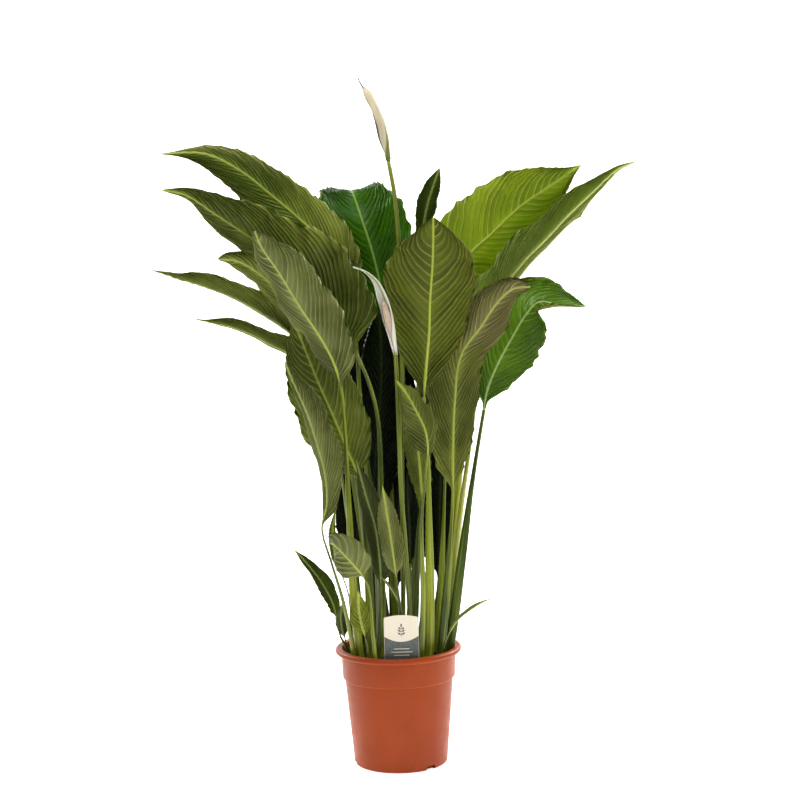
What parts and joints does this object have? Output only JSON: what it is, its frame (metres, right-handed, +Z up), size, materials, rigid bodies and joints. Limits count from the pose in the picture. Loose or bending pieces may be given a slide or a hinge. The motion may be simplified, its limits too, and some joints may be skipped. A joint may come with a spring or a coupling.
{
  "type": "potted peace lily",
  "caption": "Tall live peace lily with broad pleated leaves on upright stems and two white-hooded blooms, in a tapered terracotta-coloured plastic nursery pot with a stick-in label.",
  "frame": {"origin": "centre of the pot's flat underside, where it rests on the floor", "axes": "+Z up along the pot's axis; -Y is the front, the side with the plant label; +X to the right as seen from the front"},
  "size_m": [0.8317, 0.3988, 1.1668],
  "materials": {
    "leaf": "satin living leaf, pleated",
    "stalk": "smooth living stalk",
    "upper_bloom_spathe": "soft, ageing cream spathe",
    "lower_bloom_spathe": "soft white spathe",
    "spadix": "knobbly, matt",
    "pot": "satin terracotta-coloured plastic",
    "soil": "loose dark peat",
    "label": "coated card"
  },
  "bodies": {
    "root": {"leaf_01": "leaf", "leaf_02": "leaf", "leaf_03": "leaf", "leaf_04": "leaf", "leaf_05": "leaf", "leaf_06": "leaf", "leaf_07": "leaf", "leaf_08": "leaf", "leaf_09": "leaf", "leaf_10": "leaf", "leaf_11": "leaf", "leaf_12": "leaf", "leaf_13": "leaf", "leaf_14": "leaf", "leaf_15": "leaf", "leaf_16": "leaf", "leaf_17": "leaf", "leaf_18": "leaf", "leaf_19": "leaf", "leaf_20": "leaf", "leaf_21": "leaf", "leaf_22": "leaf", "leaf_23": "leaf", "leaf_24": "leaf", "leaf_25": "leaf", "leaf_26": "leaf", "leaf_27": "leaf", "leaf_28": "leaf", "leaf_29": "leaf", "leaf_30": "leaf", "leaf_31": "leaf", "leaf_32": "leaf", "leaf_33": "leaf", "leaf_34": "leaf", "upper_bloom_stalk": "stalk", "upper_bloom_spathe": "upper_bloom_spathe", "upper_bloom_spadix": "spadix", "lower_bloom_stalk": "stalk", "lower_bloom_spathe": "lower_bloom_spathe", "lower_bloom_spadix": "spadix", "pot": "pot", "soil": "soil", "plant_label": "label"}
  },
  "joints": []
}
